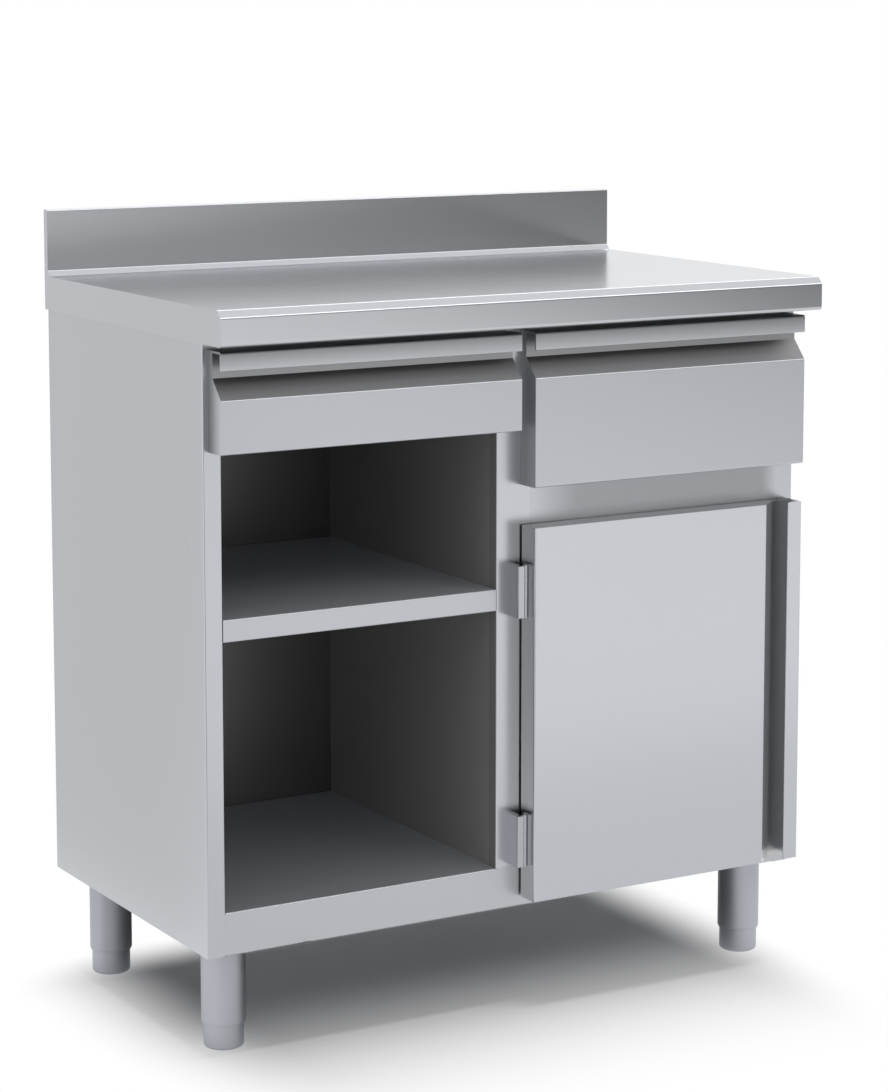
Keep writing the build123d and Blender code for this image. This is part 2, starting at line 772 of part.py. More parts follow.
pieces["slide_screws"] = Compound(slide_screws)
pieces["knock_bar"], pieces["knock_bar_sleeve"] = knock_bar(right_box_x)

# Door, its hinges, catch and bumpers
door_depth = door_back - front_face
pieces["door_skin"] = door_plane() * grip_front(front_width, door_height, door_depth)
pieces["door_liner"] = door_plane() * grip_backing(front_width, door_height)
hinge_bottoms = {
    "upper": door_top - HINGE_UPPER_DROP - HINGE_HEIGHT,
    "lower": door_bottom + HINGE_LOWER_RISE,
}
for place, bottom in hinge_bottoms.items():
    fixed_leaf, moving_leaf, pin = hinge(bottom)
    pieces[f"{place}_hinge_fixed_leaf"] = fixed_leaf
    pieces[f"{place}_hinge_moving_leaf"] = moving_leaf
    pieces[f"{place}_hinge_pin"] = pin
pieces["door_magnet_catch"], pieces["door_strike_plate"] = door_catch()
pieces["door_bumpers"] = door_bumpers()

os.makedirs("parts", exist_ok=True)
for name, shape in pieces.items():
    export_step(shape, f"parts/{name}.step")
    print(name, len(shape.solids()), round(shape.volume / 1000, 2), "cm3")
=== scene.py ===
import math

import bmesh
import bpy
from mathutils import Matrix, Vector


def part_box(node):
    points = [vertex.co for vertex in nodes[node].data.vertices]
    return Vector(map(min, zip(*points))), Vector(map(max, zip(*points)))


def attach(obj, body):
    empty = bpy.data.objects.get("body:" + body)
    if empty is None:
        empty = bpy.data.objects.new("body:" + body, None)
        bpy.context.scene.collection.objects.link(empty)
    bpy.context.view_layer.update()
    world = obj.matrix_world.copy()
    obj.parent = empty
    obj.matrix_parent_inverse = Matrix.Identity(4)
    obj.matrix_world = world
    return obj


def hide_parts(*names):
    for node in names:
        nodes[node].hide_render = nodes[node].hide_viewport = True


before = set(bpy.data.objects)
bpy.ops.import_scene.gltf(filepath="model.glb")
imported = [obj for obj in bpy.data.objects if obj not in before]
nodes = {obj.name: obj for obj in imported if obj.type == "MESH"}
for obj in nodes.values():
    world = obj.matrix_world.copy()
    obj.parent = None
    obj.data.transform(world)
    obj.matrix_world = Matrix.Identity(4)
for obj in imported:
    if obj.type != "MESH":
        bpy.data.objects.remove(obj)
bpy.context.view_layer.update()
scene = bpy.context.scene

# Side panels
# Outer sheets of the double side walls, each folded round its front edge into a stile.
# They and the mid stile are stainless steel, brushed from top to bottom.
CARCASS_TONES = ((0.553, 0.569, 0.599, 1.0), (0.565, 0.581, 0.611, 1.0))
CARCASS_ROUGHNESS = 0.26
BRUSH_LINES = 1400.0
BRUSH_STROKES = 9.0
BRUSH_RELIEF = 0.006
BRUSH_DEPTH = 0.0003
BRUSH_POLISH = 0.015
WIPED_PATCHES = 3.5
WIPED_POLISH = 0.02
SQUARE_ON = 0.8
LENGTHWISE = Vector((1, 0, 0))
DEPTHWISE = Vector((0, 1, 0))
UPRIGHT = Vector((0, 0, 1))


def node_group(kind, name, inputs, outputs):
    """Empty node group with named sockets, and the sockets of its two ends."""
    group = bpy.data.node_groups.new(name, kind)
    for in_out, sockets in (("INPUT", inputs), ("OUTPUT", outputs)):
        for label, socket_type in sockets.items():
            group.interface.new_socket(label, in_out=in_out, socket_type=socket_type)
    start = group.nodes.new("NodeGroupInput")
    end = group.nodes.new("NodeGroupOutput")
    return group, start.outputs, end.inputs


def add_node(tree, kind, links=None, **settings):
    """New node with its properties set and its inputs linked or given values."""
    node = tree.nodes.new(kind)
    for label, value in settings.items():
        setattr(node, label, value)
    for socket, value in (links or {}).items():
        if isinstance(value, bpy.types.NodeSocket):
            tree.links.new(value, node.inputs[socket])
        elif isinstance(value, list):
            for source in value:
                tree.links.new(source, node.inputs[socket])
        else:
            node.inputs[socket].default_value = value
    return node


def math_node(tree, operation, first, second=0.0):
    """Result of one sum on two values or sockets."""
    return add_node(tree, "ShaderNodeMath", {0: first, 1: second}, operation=operation).outputs[0]


def vector_node(tree, operation, *values):
    """Node for one vector sum on vectors or sockets."""
    return add_node(tree, "ShaderNodeVectorMath", dict(enumerate(values)), operation=operation)


def brushed_grain():
    """Shader group for brushed metal: fine lines along the run, and broad wiped patches."""
    group, given, result = node_group(
        "ShaderNodeTree",
        "brushed_grain",
        {
            "Run": "NodeSocketVector",
            "End Run": "NodeSocketVector",
            "Lines": "NodeSocketFloat",
            "Strokes": "NodeSocketFloat",
            "Patches": "NodeSocketFloat",
        },
        {"Grain": "NodeSocketFloat", "Wiped": "NodeSocketFloat"},
    )
    place = add_node(group, "ShaderNodeTexCoord").outputs
    stretch = math_node(group, "SUBTRACT", given["Strokes"], given["Lines"])
    along = vector_node(group, "MULTIPLY_ADD", given["Run"], stretch, given["Lines"])
    on_ends = vector_node(group, "MULTIPLY_ADD", given["End Run"], stretch, given["Lines"])
    facing = vector_node(group, "DOT_PRODUCT", place["Normal"], given["Run"]).outputs["Value"]
    is_end = math_node(group, "GREATER_THAN", math_node(group, "ABSOLUTE", facing), SQUARE_ON)
    spacing = add_node(
        group, "ShaderNodeMix",
        {"Factor": is_end, 4: along.outputs[0], 5: on_ends.outputs[0]}, data_type="VECTOR",
    )
    stroke = vector_node(group, "MULTIPLY", place["Object"], spacing.outputs[1])
    grain = add_node(
        group, "ShaderNodeTexNoise",
        {"Vector": stroke.outputs[0], "Scale": 1.0, "Detail": 3.0, "Roughness": 0.6},
    )
    wiped = add_node(
        group, "ShaderNodeTexNoise",
        {"Vector": place["Object"], "Scale": given["Patches"], "Detail": 4.0},
    )
    group.links.new(grain.outputs["Fac"], result["Grain"])
    group.links.new(wiped.outputs["Fac"], result["Wiped"])
    return group


grain_group = brushed_grain()


def new_material(name, metallic):
    """Material with a Principled shader, its tree and that shader's inputs."""
    material = bpy.data.materials.new(name)
    material.use_nodes = True
    inputs = material.node_tree.nodes["Principled BSDF"].inputs
    inputs["Metallic"].default_value = metallic
    return material, material.node_tree, inputs


def spread(tree, value, low, high):
    """Maps a mask from 0 to 1 onto a range."""
    limits = {"Value": value, "To Min": low, "To Max": high}
    return add_node(tree, "ShaderNodeMapRange", limits).outputs["Result"]


def blend_tones(tree, mask, tones):
    """Colour between two tones by a mask."""
    links = {"Factor": mask, 6: tones[0], 7: tones[1]}
    return add_node(tree, "ShaderNodeMix", links, data_type="RGBA").outputs[2]


def brushed_steel(
    name, tones, roughness, run, end_run, strokes=BRUSH_STROKES, relief=BRUSH_RELIEF
):
    """Brushed stainless with its grain along one direction, and along another on the ends."""
    steel, tree, shader = new_material(name, 1.0)
    grain = add_node(tree, "ShaderNodeGroup", node_tree=grain_group)
    sizes = {"Lines": BRUSH_LINES, "Strokes": strokes, "Patches": WIPED_PATCHES}
    for label, value in {"Run": run, "End Run": end_run, **sizes}.items():
        grain.inputs[label].default_value = value
    tree.links.new(blend_tones(tree, grain.outputs["Grain"], tones), shader["Base Color"])
    polish = spread(
        tree, grain.outputs["Grain"], roughness - BRUSH_POLISH, roughness + BRUSH_POLISH
    )
    wiped = spread(tree, grain.outputs["Wiped"], -WIPED_POLISH, WIPED_POLISH)
    tree.links.new(math_node(tree, "ADD", polish, wiped), shader["Roughness"])
    scratches = add_node(
        tree, "ShaderNodeBump",
        {"Height": grain.outputs["Grain"], "Strength": relief, "Distance": BRUSH_DEPTH},
    )
    tree.links.new(scratches.outputs["Normal"], shader["Normal"])
    return steel


def dress(material, *names):
    """Gives CAD nodes their finish."""
    for name in names:
        nodes[name].data.materials.clear()
        nodes[name].data.materials.append(material)


carcass_steel = brushed_steel(
    "carcass_steel", CARCASS_TONES, CARCASS_ROUGHNESS, UPRIGHT, DEPTHWISE
)
dress(carcass_steel, "left_side_panel", "right_side_panel")

# Inner walls and mid stile
# Flat liners of the side walls, the two skins of the partition and the recessed back.
# They are thinner sheets with a dull grey mill finish, toned darker as painted shade in the bay.
# The mid stile closes the partition. Its face is brushed, its folded sides dull and painted in shade.
# The inside of the back is painted darkest, as the shade deep in the bay.
INNER_FINISH_AND_SHADE_TONES = ((0.42, 0.417, 0.413, 1.0), (0.433, 0.43, 0.426, 1.0))
INNER_ROUGHNESS = 0.72
BACK_SHADE_TONES = ((0.168, 0.167, 0.165, 1.0), (0.177, 0.176, 0.174, 1.0))
BACK_ROUGHNESS = 0.3
STILE_TONES = ((0.586, 0.603, 0.635, 1.0), (0.599, 0.616, 0.648, 1.0))
STILE_SIDE_SHADE_TONE = (0.36, 0.357, 0.353, 1.0)
# The inner tones hold painted shade as well as the duller finish.
inner_steel = brushed_steel("inner_steel", INNER_FINISH_AND_SHADE_TONES, INNER_ROUGHNESS, UPRIGHT, DEPTHWISE)
back_steel = brushed_steel("back_steel", BACK_SHADE_TONES, BACK_ROUGHNESS, UPRIGHT, DEPTHWISE)
dress(inner_steel, "left_liner", "right_liner", "partition_left_skin", "partition_right_skin")
dress(back_steel, "back_panel")


def along_axis(tree, output, axis):
    """How far a point lies, or its surface faces, along one axis of the object."""
    source = add_node(tree, "ShaderNodeTexCoord").outputs[output]
    return add_node(tree, "ShaderNodeSeparateXYZ", {"Vector": source}).outputs[axis]


def ramp(tree, value, low, high):
    """Nought up to one value, one from another value on, and a straight rise between them."""
    limits = {"Value": value, "From Min": low, "From Max": high}
    return add_node(tree, "ShaderNodeMapRange", limits).outputs["Result"]


def change_tone(steel, mask, tone):
    """Blends the colour of a steel to another tone where a mask is one."""
    tree = steel.node_tree
    colour = tree.nodes["Principled BSDF"].inputs["Base Color"]
    brushed = colour.links[0].from_socket
    tree.links.new(blend_tones(tree, mask, (brushed, tone)), colour)


def change_polish(steel, mask, roughness):
    """Brings a steel to another roughness where a mask is one."""
    tree = steel.node_tree
    polish = tree.nodes["Principled BSDF"].inputs["Roughness"]
    brushed = polish.links[0].from_socket
    tree.links.new(spread(tree, mask, brushed, roughness), polish)


# The back's inside keeps its painted shade; its rear face takes the liners' tone.
tree = back_steel.node_tree
outside = math_node(tree, "GREATER_THAN", along_axis(tree, "Normal", "Y"), SQUARE_ON)
change_tone(back_steel, outside, INNER_FINISH_AND_SHADE_TONES[0])
stile_steel = brushed_steel("stile_steel", STILE_TONES, CARCASS_ROUGHNESS, UPRIGHT, DEPTHWISE)
tree = stile_steel.node_tree
sideways = math_node(tree, "ABSOLUTE", along_axis(tree, "Normal", "X"))
folded_side = math_node(tree, "GREATER_THAN", sideways, SQUARE_ON)
# Painted shade: the folded sides are darker than the face.
change_tone(stile_steel, folded_side, STILE_SIDE_SHADE_TONE)
change_polish(stile_steel, folded_side, INNER_ROUGHNESS)
dress(stile_steel, "mid_stile")

# Away from the stiles they are also painted darker, as shade where they sit back between the fronts.
# Front frame and floor
# The floor is folded down into the base rail, and the cross rails are channels of the same sheet.
# Their welds to the stiles are ground flush and brushed over, and rails get rougher away from them.
# Faces that lie upward, such as the floor, are rubbed dull by what stands on them.
FOLD = 0.002
BEAD_LAP = 0.0006
BEAD_PROUD = 0.00004
FRAME_ROUGHNESS = 0.34
RUBBED_ROUGHNESS = 0.62
RAIL_SHADE_TONE = (0.475, 0.489, 0.515, 1.0)
RAIL_ROUGHNESS = 0.5
AWAY_FROM_MID_STILE = (0.02, 0.11)
AWAY_FROM_SIDE_STILES = (0.47, 0.44)
frame_steel = brushed_steel("frame_steel", CARCASS_TONES, FRAME_ROUGHNESS, LENGTHWISE, DEPTHWISE)
tree = frame_steel.node_tree
rubbed = math_node(tree, "GREATER_THAN", along_axis(tree, "Normal", "Z"), SQUARE_ON)
change_polish(frame_steel, rubbed, RUBBED_ROUGHNESS)
rail_steel = brushed_steel("rail_steel", STILE_TONES, CARCASS_ROUGHNESS, LENGTHWISE, DEPTHWISE)
tree = rail_steel.node_tree
# Painted shade: the rails darken away from the stiles.
from_stile = math_node(tree, "ABSOLUTE", along_axis(tree, "Object", "X"))
away_from_stiles = math_node(
    tree, "MINIMUM", ramp(tree, from_stile, *AWAY_FROM_MID_STILE), ramp(tree, from_stile, *AWAY_FROM_SIDE_STILES)
)
change_tone(rail_steel, away_from_stiles, RAIL_SHADE_TONE)
change_polish(rail_steel, away_from_stiles, RAIL_ROUGHNESS)
drawer_rails = ("top_front_rail", "left_drawer_rail", "right_drawer_rail")
dress(frame_steel, "base_panel")
dress(rail_steel, *drawer_rails)


def seeds(name, points, **marks):
    """Object with one vertex for each thing to grow, and vectors that say how each one lies."""
    mesh = bpy.data.meshes.new(name)
    mesh.from_pydata(points, [], [])
    for label, vectors in marks.items():
        attribute = mesh.attributes.new(label, "FLOAT_VECTOR", "POINT")
        attribute.data.foreach_set("vector", [value for vector in vectors for value in vector])
    piece = bpy.data.objects.new(name, mesh)
    scene.collection.objects.link(piece)
    return piece


def grow(piece, tree, **inputs):
    """Runs a Geometry Nodes tree on a piece and keeps the result as its plain mesh."""
    modifier = piece.modifiers.new("grow", "NODES")
    modifier.node_group = tree
    for item in tree.interface.items_tree:
        label = item.name.lower().replace(" ", "_")
        if item.in_out == "INPUT" and label in inputs:
            modifier[item.identifier] = inputs[label]
    shown = piece.evaluated_get(bpy.context.evaluated_depsgraph_get())
    seed_mesh = piece.data
    piece.data = bpy.data.meshes.new_from_object(shown)
    piece.modifiers.remove(modifier)
    bpy.data.meshes.remove(seed_mesh)
    piece.data.name = piece.name


def mark(tree, label):
    """Reads a vector that the seeds carry."""
    named = add_node(
        tree, "GeometryNodeInputNamedAttribute", {"Name": label}, data_type="FLOAT_VECTOR"
    )
    return named.outputs["Attribute"]


def finish_tree(tree, instances, material, result):
    """Ends a tree: real geometry with its material."""
    real = add_node(tree, "GeometryNodeRealizeInstances", {"Geometry": instances})
    painted = add_node(
        tree, "GeometryNodeSetMaterial",
        {"Geometry": real.outputs["Geometry"], "Material": material},
    )
    tree.links.new(painted.outputs["Geometry"], result["Geometry"])


def ground_beads():
    """Geometry tree that lays a flat ground bead of a given size at each seed."""
    tree, given, result = node_group(
        "GeometryNodeTree",
        "ground_beads",
        {"Geometry": "NodeSocketGeometry", "Material": "NodeSocketMaterial"},
        {"Geometry": "NodeSocketGeometry"},
    )
    bead = add_node(tree, "GeometryNodeMeshCube", {"Size": (1.0, 1.0, 1.0)})
    laid = add_node(
        tree, "GeometryNodeInstanceOnPoints",
        {"Points": given["Geometry"], "Instance": bead.outputs["Mesh"], "Scale": mark(tree, "size")},
    )
    finish_tree(tree, laid.outputs["Instances"], given["Material"], result)
    return tree


bead_places = []
bead_sizes = []
for rail in ("base_panel", *drawer_rails):
    low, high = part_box(rail)
    for x in (low.x - FOLD / 2, high.x + FOLD / 2):
        bead_places.append((x, low.y + FOLD / 2 - BEAD_PROUD, (low.z + high.z) / 2))
        bead_sizes.append((FOLD + BEAD_LAP, FOLD, high.z - low.z - 2 * FOLD))
stile_low, stile_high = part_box("mid_stile")
bead_places.append((0, stile_low.y + FOLD / 2 - BEAD_PROUD, stile_low.z - FOLD / 2))
bead_sizes.append((stile_high.x - stile_low.x - 2 * FOLD, FOLD, FOLD + BEAD_LAP))
frame_welds = seeds("frame_welds", bead_places, size=bead_sizes)
grow(frame_welds, ground_beads(), material=carcass_steel)
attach(frame_welds, "carcass")

# Back panel welds
# The back is fixed to the liners and the partition by spot welds from the rear.
# Each leaves a small round button on the sheet, a little paler than the brushing round it.
SHEET = 0.001
WELD_RADIUS = 0.003
WELD_RISE = 0.0003
WELD_CROWN = 0.7
WELD_PITCH = 0.075
WELD_EDGE = 0.012
WELD_END = 0.048
WELD_TONES = ((0.50, 0.50, 0.51, 1.0), (0.62, 0.62, 0.63, 1.0))
WELD_ROUGHNESS = 0.36


def spot_welds():
    """Geometry tree that presses a flat-topped button at each seed, facing along its axis."""
    tree, given, result = node_group(
        "GeometryNodeTree",
        "spot_welds",
        {
            "Geometry": "NodeSocketGeometry",
            "Radius": "NodeSocketFloat",
            "Rise": "NodeSocketFloat",
            "Material": "NodeSocketMaterial",
        },
        {"Geometry": "NodeSocketGeometry"},
    )
    crown = math_node(tree, "MULTIPLY", given["Radius"], WELD_CROWN)
    button = add_node(
        tree, "GeometryNodeMeshCone",
        {"Vertices": 16, "Radius Top": crown, "Radius Bottom": given["Radius"], "Depth": given["Rise"]},
    )
    facing = add_node(
        tree, "FunctionNodeAlignRotationToVector", {"Vector": mark(tree, "axis")}, axis="Z"
    )
    pressed = add_node(
        tree, "GeometryNodeInstanceOnPoints",
        {
            "Points": given["Geometry"],
            "Instance": button.outputs["Mesh"],
            "Rotation": facing.outputs["Rotation"],
        },
    )
    finish_tree(tree, pressed.outputs["Instances"], given["Material"], result)
    return tree


weld_tree = spot_welds()
weld_steel = brushed_steel("weld_steel", WELD_TONES, WELD_ROUGHNESS, LENGTHWISE, LENGTHWISE)


def row(start, end, pitch):
    """Evenly spaced points from start to end, about a pitch apart."""
    start, end = Vector(start), Vector(end)
    gaps = max(1, round((end - start).length / pitch))
    return [start.lerp(end, step / gaps) for step in range(gaps + 1)]


def weld_rows(name, body, rows, axis):
    """Rows of spot welds on one body, all facing one way."""
    points = [point for start, end in rows for point in row(start, end, WELD_PITCH)]
    welds = seeds(name, points, axis=[axis] * len(points))
    grow(welds, weld_tree, radius=WELD_RADIUS, rise=WELD_RISE, material=weld_steel)
    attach(welds, body)


back_low, back_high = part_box("back_panel")
back_rear = back_low.y + SHEET
back_z = (back_low.z + WELD_END, back_high.z - WELD_END)
weld_x = (back_low.x + WELD_EDGE, stile_low.x + SHEET, stile_high.x - SHEET, back_high.x - WELD_EDGE)
weld_rows(
    "back_welds", "carcass",
    [((x, back_rear, back_z[0]), (x, back_rear, back_z[1])) for x in weld_x],
    DEPTHWISE,
)

# Legs and their beams
# Round stainless tubes with a welded cap, bolted from inside to two folded beams under the floor.
# Tubes and inserts have a dull finish from the lathe, with fine lines that run round them.
LEG_TONES = ((0.485, 0.5, 0.54, 1.0), (0.5, 0.515, 0.555, 1.0))
LEG_ROUGHNESS = 0.55
TURNED_STROKES = 0.5
TURNED_RELIEF = 0.005
ROUND_UPRIGHT = Vector((1, 1, 0))
leg_steel = brushed_steel(
    "leg_steel", LEG_TONES, LEG_ROUGHNESS, ROUND_UPRIGHT, ROUND_UPRIGHT,
    TURNED_STROKES, TURNED_RELIEF,
)
corners = ("front_left", "front_right", "rear_left", "rear_right")
dress(leg_steel, "leg_inserts", *[f"{corner}_leg" for corner in corners])
dress(frame_steel, "front_leg_beam", "rear_leg_beam")

# Zinc-plated fixings
# Leg bolts and drawer slides are mild steel with a bright zinc plating.
# The plating has a faint mottle from bluish to warm, and is duller than the stainless round it.
ZINC_TONES = ((0.50, 0.53, 0.57, 1.0), (0.62, 0.61, 0.58, 1.0))
ZINC_MOTTLE = 140.0
ZINC_ROUGHNESS = (0.26, 0.44)
ZINC_RELIEF = 0.05
ZINC_DEPTH = 0.0004


def zinc_plate():
    """Bright zinc plating with a fine mottle."""
    zinc, tree, shader = new_material("zinc_plate", 1.0)
    place = add_node(tree, "ShaderNodeTexCoord").outputs["Object"]
    mottle = add_node(
        tree, "ShaderNodeTexNoise", {"Vector": place, "Scale": ZINC_MOTTLE, "Detail": 5.0}
    ).outputs["Fac"]
    tree.links.new(blend_tones(tree, mottle, ZINC_TONES), shader["Base Color"])
    tree.links.new(spread(tree, mottle, *ZINC_ROUGHNESS), shader["Roughness"])
    relief = add_node(
        tree, "ShaderNodeBump",
        {"Height": mottle, "Strength": ZINC_RELIEF, "Distance": ZINC_DEPTH},
    )
    tree.links.new(relief.outputs["Normal"], shader["Normal"])
    return zinc


zinc = zinc_plate()
dress(zinc, "leg_bolts")

# Adjustable feet
# Each foot is a turned stainless cup with a rounded sole, on a rolled-thread stem.
# The stem turns in the insert of its leg, so part of the thread shows when the foot is let out.
FOOT_ROUND = 0.005
FOOT_CHAMFER = 0.0005
STEM_LENGTH = 0.060
STEM_RADIUS = 0.008
THREAD_PITCH = 0.002
THREAD_RADIUS = 0.0008
FOOT_SEGMENTS = 64
FOOT_STEPS = 8
TURNED_SHARP = 35


def arc(centre, radius, start, end, steps):
    """Points of an arc in a profile, with angles in degrees."""
    angles = [math.radians(start + (end - start) * step / steps) for step in range(steps + 1)]
    return [
        (centre[0] + radius * math.cos(angle), centre[1] + radius * math.sin(angle))
        for angle in angles
    ]


def mesh_piece(name, shape, sharp_angle):
    """Object made from a finished bmesh, smooth where its faces meet at less than an angle."""
    mesh = bpy.data.meshes.new(name)
    shape.to_mesh(mesh)
    shape.free()
    mesh.polygons.foreach_set("use_smooth", [True] * len(mesh.polygons))
    mesh.set_sharp_from_angle(angle=math.radians(sharp_angle))
    piece = bpy.data.objects.new(name, mesh)
    scene.collection.objects.link(piece)
    return piece


def lathe(name, profile, places, axis, segments, ring=False):
    """Turned piece: radius and height points spun about an axis at each place."""
    turn = UPRIGHT.rotation_difference(axis)
    shape = bmesh.new()
    for place in places:
        loops = []
        for radius, height in profile:
            count = segments if radius > 0 else 1
            loops.append([
                shape.verts.new(Vector(place) + turn @ Vector((
                    radius * math.cos(math.tau * step / count),
                    radius * math.sin(math.tau * step / count),
                    height,
                )))
                for step in range(count)
            ])
        pairs = list(zip(loops, loops[1:]))
        if ring:
            pairs.append((loops[-1], loops[0]))
        for below, above in pairs:
            for step in range(segments):
                corners_round = (
                    below[step % len(below)],
                    below[(step + 1) % len(below)],
                    above[(step + 1) % len(above)],
                    above[step % len(above)],
                )
                shape.faces.new(list(dict.fromkeys(corners_round)))
    bmesh.ops.recalc_face_normals(shape, faces=shape.faces)
    return mesh_piece(name, shape, TURNED_SHARP)


def threaded_stem():
    """Geometry tree that adds a rolled-thread stem above a turned cup."""
    tree, given, result = node_group(
        "GeometryNodeTree",
        "threaded_stem",
        {
            "Geometry": "NodeSocketGeometry",
            "Place": "NodeSocketVector",
            "Core": "NodeSocketFloat",
            "Thread": "NodeSocketFloat",
            "Pitch": "NodeSocketFloat",
            "Length": "NodeSocketFloat",
            "Material": "NodeSocketMaterial",
        },
        {"Geometry": "NodeSocketGeometry"},
    )
    helix = add_node(
        tree, "GeometryNodeCurveSpiral",
        {
            "Resolution": 24,
            "Rotations": math_node(tree, "DIVIDE", given["Length"], given["Pitch"]),
            "Start Radius": given["Core"],
            "End Radius": given["Core"],
            "Height": given["Length"],
        },
    )
    crest = add_node(
        tree, "GeometryNodeCurvePrimitiveCircle", {"Resolution": 6, "Radius": given["Thread"]}
    )
    thread = add_node(
        tree, "GeometryNodeCurveToMesh",
        {
            "Curve": helix.outputs["Curve"],
            "Profile Curve": crest.outputs["Curve"],
            "Fill Caps": True,
        },
    )
    rod = add_node(
        tree, "GeometryNodeMeshCylinder",
        {"Vertices": 32, "Radius": given["Core"], "Depth": given["Length"]},
    )
    half_up = add_node(
        tree, "ShaderNodeCombineXYZ", {"Z": math_node(tree, "MULTIPLY", given["Length"], 0.5)}
    )
    core = add_node(
        tree, "GeometryNodeTransform",
        {"Geometry": rod.outputs["Mesh"], "Translation": half_up.outputs["Vector"]},
    )
    stem = add_node(
        tree, "GeometryNodeJoinGeometry",
        {"Geometry": [core.outputs["Geometry"], thread.outputs["Mesh"]]},
    )
    stood = add_node(
        tree, "GeometryNodeTransform",
        {"Geometry": stem.outputs["Geometry"], "Translation": given["Place"]},
    )
    whole = add_node(
        tree, "GeometryNodeJoinGeometry",
        {"Geometry": [given["Geometry"], stood.outputs["Geometry"]]},
    )
    finish_tree(tree, whole.outputs["Geometry"], given["Material"], result)
    return tree


stem_tree = threaded_stem()
for corner in corners:
    low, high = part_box(f"{corner}_foot")
    middle = (low + high) / 2
    radius = (high.x - low.x) / 2
    cup_top = high.z - STEM_LENGTH
    foot = lathe(
        f"{corner}_turned_foot",
        [
            (0, 0),
            *arc((radius - FOOT_ROUND, FOOT_ROUND), FOOT_ROUND, -90, 0, FOOT_STEPS),
            (radius, cup_top - FOOT_CHAMFER),
            (radius - FOOT_CHAMFER, cup_top),
            (0, cup_top),
        ],
        [(middle.x, middle.y, low.z)], UPRIGHT, FOOT_SEGMENTS,
    )
    grow(
        foot, stem_tree, place=(middle.x, middle.y, cup_top), core=STEM_RADIUS - THREAD_RADIUS,
        thread=THREAD_RADIUS, pitch=THREAD_PITCH, length=STEM_LENGTH, material=leg_steel,
    )
    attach(foot, f"{corner}_foot")
    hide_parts(f"{corner}_foot")

# Worktop
# One thicker stainless sheet, folded down over a bevelled front edge and up into the upstand.
# Its ends are welded shut, ground flush and brushed, and two channels stiffen it from below.
WORKTOP_TONES = ((0.572, 0.586, 0.617, 1.0), (0.586, 0.6, 0.631, 1.0))
WORKTOP_ROUGHNESS = 0.22
worktop_steel = brushed_steel(
    "worktop_steel", WORKTOP_TONES, WORKTOP_ROUGHNESS, LENGTHWISE, DEPTHWISE
)
dress(worktop_steel, "worktop", "worktop_stiffener_front", "worktop_stiffener_rear")

# Shelf of the open bay
# A folded shelf with a deep lip, lying loose on two angle brackets.
# The brackets are spot welded to the liner and to the partition.
BRACKET_SHEET = 0.0015
sides = (("left", 1), ("right", -1))
dress(frame_steel, "shelf", "shelf_bracket_left", "shelf_bracket_right")
for side, facing in sides:
    low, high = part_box(f"shelf_bracket_{side}")
    face_x = low.x + BRACKET_SHEET if facing > 0 else high.x - BRACKET_SHEET
    weld_z = (low.z + high.z) / 2
    ends = (low.y + WELD_EDGE, high.y - WELD_EDGE)
    weld_rows(
        f"shelf_bracket_{side}_welds", "carcass",
        [((face_x, ends[0], weld_z), (face_x, ends[1], weld_z))],
        facing * LENGTHWISE,
    )

# Drawer slides
# Telescopic ball slides of zinc-plated strip: an outer rail on the wall, a middle and an inner rail.
# Each outer rail is held by two pan-head screws with a cross recess.
SLIDE_SHEET = 0.0012
SCREW_END = 0.060
SCREW_HEAD_RADIUS = 0.004
SCREW_HEAD_HEIGHT = 0.0018
SCREW_SHANK_RADIUS = 0.002
SCREW_SHANK_LENGTH = 0.008
SCREW_RIM = 0.45
RECESS_LENGTH = 1.15
RECESS_WIDTH = 0.26
drawers = ("left_drawer", "right_drawer")
for drawer in drawers:
    dress(zinc, f"{drawer}_middle_rails")
    for side, facing in sides:
        dress(zinc, f"{drawer}_outer_rail_{side}", f"{drawer}_inner_rail_{side}")


